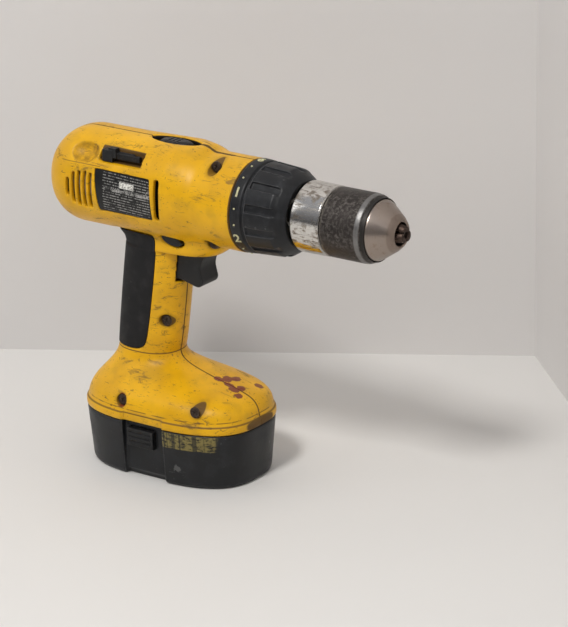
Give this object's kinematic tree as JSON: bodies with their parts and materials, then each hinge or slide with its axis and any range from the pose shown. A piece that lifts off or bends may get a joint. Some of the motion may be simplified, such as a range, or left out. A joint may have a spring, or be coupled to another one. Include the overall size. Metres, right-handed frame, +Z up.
{
  "type": "cordless drill",
  "caption": "Pistol-grip cordless drill and driver with a keyless chuck, a torque collar, a two-speed gearbox and a slide-off battery pack in the foot.",
  "frame": {"origin": "the middle of the battery pack's flat underside, on which the drill stands", "axes": "+X forward along the barrel to the chuck, +Y to the drill's left, +Z up; the barrel's axis is level, 172.8 mm above the origin"},
  "size_m": [0.2482, 0.0782, 0.2036],
  "materials": {
    "yellow_housing": "satin yellow moulded shell, scuffed and grimy",
    "grip_rubber": "matte overmoulded grip",
    "black_nylon": "satin black glass-filled plastic",
    "label_film": "printed film plate, worn",
    "steel": "plain machined or pressed steel",
    "chuck_steel": "turned steel nose with fine turning marks",
    "bright_ring": "bright plated ring, stained",
    "dark_sleeve": "black oxide, worn and mottled",
    "rotor_copper": "laminated steel stack with enamelled windings",
    "commutator_copper": "copper bars",
    "magnet": "dark ceramic magnet",
    "carbon": "carbon block",
    "gearcase_metal": "cast light alloy",
    "cell_can": "cell cans with welded straps"
  },
  "bodies": {
    "housing": {"housing_right": "yellow_housing", "housing_left": "yellow_housing", "grip_right": "grip_rubber", "grip_left": "grip_rubber", "nameplate": "label_film", "bit_clip": "black_nylon", "screw_front_top": "steel", "screw_trigger": "steel", "screw_handle": "steel", "screw_foot_rear": "steel", "screw_foot_front": "steel", "motor_can": "steel", "motor_end_cap": "black_nylon", "brush_upper": "carbon", "brush_lower": "carbon", "magnet_upper": "magnet", "magnet_lower": "magnet", "gearcase": "gearcase_metal", "ring_gear_one": "steel", "spindle_bearing": "steel", "switch_module": "black_nylon", "terminal_block": "black_nylon", "clutch_spring": "steel"},
    "motor_rotor": {"armature": "rotor_copper", "commutator": "commutator_copper", "motor_fan": "black_nylon", "pinion_gear": "steel"},
    "first_carrier": {"planet_carrier": "steel"},
    "output_spindle": {"spindle": "steel", "chuck_body": "chuck_steel", "chuck_rear_sleeve": "bright_ring", "chuck_screw": "steel"},
    "clamping_sleeve": {"chuck_front_sleeve": "dark_sleeve", "chuck_nut": "steel"},
    "torque_ring": {"torque_collar": "black_nylon", "clutch_nut": "steel"},
    "speed_slider": {"speed_selector": "black_nylon", "shift_fork": "steel", "ring_gear_two": "steel"},
    "trigger_body": {"trigger": "black_nylon"},
    "direction_slider": {"direction_button": "black_nylon"},
    "battery_pack": {"battery_case": "black_nylon", "battery_cap": "black_nylon", "cells_right": "cell_can", "cells_middle": "cell_can", "cells_left": "cell_can", "cells_stem": "cell_can", "battery_terminals": "commutator_copper"},
    "latch_right": {"release_button_right": "black_nylon"},
    "latch_left": {"release_button_left": "black_nylon"},
    "jaw_1": {"chuck_jaw_1": "dark_sleeve"},
    "jaw_2": {"chuck_jaw_2": "dark_sleeve"},
    "jaw_3": {"chuck_jaw_3": "dark_sleeve"},
    "planet_body_one_1": {"planet_one_1": "steel"},
    "planet_body_one_2": {"planet_one_2": "steel"},
    "planet_body_one_3": {"planet_one_3": "steel"},
    "planet_body_two_1": {"planet_two_1": "steel"},
    "planet_body_two_2": {"planet_two_2": "steel"},
    "planet_body_two_3": {"planet_two_3": "steel"}
  },
  "joints": [
    {"name": "spindle_spin", "type": "hinge", "parent": "housing", "child": "output_spindle", "pos_m": [0, 0, 0.1728], "axis": [1, 0, 0], "continuous": true},
    {"name": "rotor_spin", "type": "hinge", "parent": "housing", "child": "motor_rotor", "pos_m": [0, 0, 0.1728], "axis": [1, 0, 0], "continuous": true},
    {"name": "carrier_spin", "type": "hinge", "parent": "housing", "child": "first_carrier", "pos_m": [0, 0, 0.1728], "axis": [1, 0, 0], "continuous": true},
    {"name": "planet_one_1_spin", "type": "hinge", "parent": "first_carrier", "child": "planet_body_one_1", "pos_m": [0, 0.0105, 0.1728], "axis": [1, 0, 0], "continuous": true},
    {"name": "planet_one_2_spin", "type": "hinge", "parent": "first_carrier", "child": "planet_body_one_2", "pos_m": [0, -0.00525, 0.18189], "axis": [1, 0, 0], "continuous": true},
    {"name": "planet_one_3_spin", "type": "hinge", "parent": "first_carrier", "child": "planet_body_one_3", "pos_m": [0, -0.00525, 0.16371], "axis": [1, 0, 0], "continuous": true},
    {"name": "planet_two_1_spin", "type": "hinge", "parent": "output_spindle", "child": "planet_body_two_1", "pos_m": [0, 0.0105, 0.1728], "axis": [1, 0, 0], "continuous": true},
    {"name": "planet_two_2_spin", "type": "hinge", "parent": "output_spindle", "child": "planet_body_two_2", "pos_m": [0, -0.00525, 0.18189], "axis": [1, 0, 0], "continuous": true},
    {"name": "planet_two_3_spin", "type": "hinge", "parent": "output_spindle", "child": "planet_body_two_3", "pos_m": [0, -0.00525, 0.16371], "axis": [1, 0, 0], "continuous": true},
    {"name": "sleeve_turn", "type": "hinge", "parent": "output_spindle", "child": "clamping_sleeve", "pos_m": [0, 0, 0.1728], "axis": [1, 0, 0], "range_deg": [0, 1080]},
    {"name": "jaw_1_slide", "type": "slide", "parent": "output_spindle", "child": "jaw_1", "axis": [-0.9703, 0, 0.2419], "range_m": [0, 0.02131]},
    {"name": "jaw_2_slide", "type": "slide", "parent": "output_spindle", "child": "jaw_2", "axis": [-0.9703, -0.2095, -0.121], "range_m": [0, 0.02131]},
    {"name": "jaw_3_slide", "type": "slide", "parent": "output_spindle", "child": "jaw_3", "axis": [-0.9703, 0.2095, -0.121], "range_m": [0, 0.02131]},
    {"name": "torque_turn", "type": "hinge", "parent": "housing", "child": "torque_ring", "pos_m": [0, 0, 0.1728], "axis": [1, 0, 0], "range_deg": [-45, 270]},
    {"name": "speed_slide", "type": "slide", "parent": "housing", "child": "speed_slider", "axis": [1, 0, 0], "range_m": [-0.003, 0.003]},
    {"name": "trigger_pull", "type": "slide", "parent": "housing", "child": "trigger_body", "axis": [-1, 0, 0], "range_m": [0, 0.0065], "stiffness_N_per_m": 500, "springref_m": -0.004},
    {"name": "direction_slide", "type": "slide", "parent": "housing", "child": "direction_slider", "axis": [0, 1, 0], "range_m": [-0.0025, 0.0025]},
    {"name": "battery_slide", "type": "slide", "parent": "housing", "child": "battery_pack", "axis": [0, 0, -1], "range_m": [0, 0.08]},
    {"name": "latch_right_press", "type": "slide", "parent": "battery_pack", "child": "latch_right", "axis": [0, 1, 0], "range_m": [0, 0.0024], "stiffness_N_per_m": 1200, "springref_m": -0.002},
    {"name": "latch_left_press", "type": "slide", "parent": "battery_pack", "child": "latch_left", "axis": [0, -1, 0], "range_m": [0, 0.0024], "stiffness_N_per_m": 1200, "springref_m": -0.002}
  ],
  "couplings": [
    {"joint": "rotor_spin", "follows": "spindle_spin", "ratio": 23.04},
    {"joint": "carrier_spin", "follows": "spindle_spin", "ratio": 4.8},
    {"joint": "planet_one_1_spin", "follows": "spindle_spin", "ratio": -13.029},
    {"joint": "planet_one_2_spin", "follows": "spindle_spin", "ratio": -13.029},
    {"joint": "planet_one_3_spin", "follows": "spindle_spin", "ratio": -13.029},
    {"joint": "planet_two_1_spin", "follows": "spindle_spin", "ratio": -2.7143},
    {"joint": "planet_two_2_spin", "follows": "spindle_spin", "ratio": -2.7143},
    {"joint": "planet_two_3_spin", "follows": "spindle_spin", "ratio": -2.7143},
    {"joint": "jaw_1_slide", "follows": "sleeve_turn", "m_per_rad": 0.00113},
    {"joint": "jaw_2_slide", "follows": "sleeve_turn", "m_per_rad": 0.00113},
    {"joint": "jaw_3_slide", "follows": "sleeve_turn", "m_per_rad": 0.00113}
  ]
}
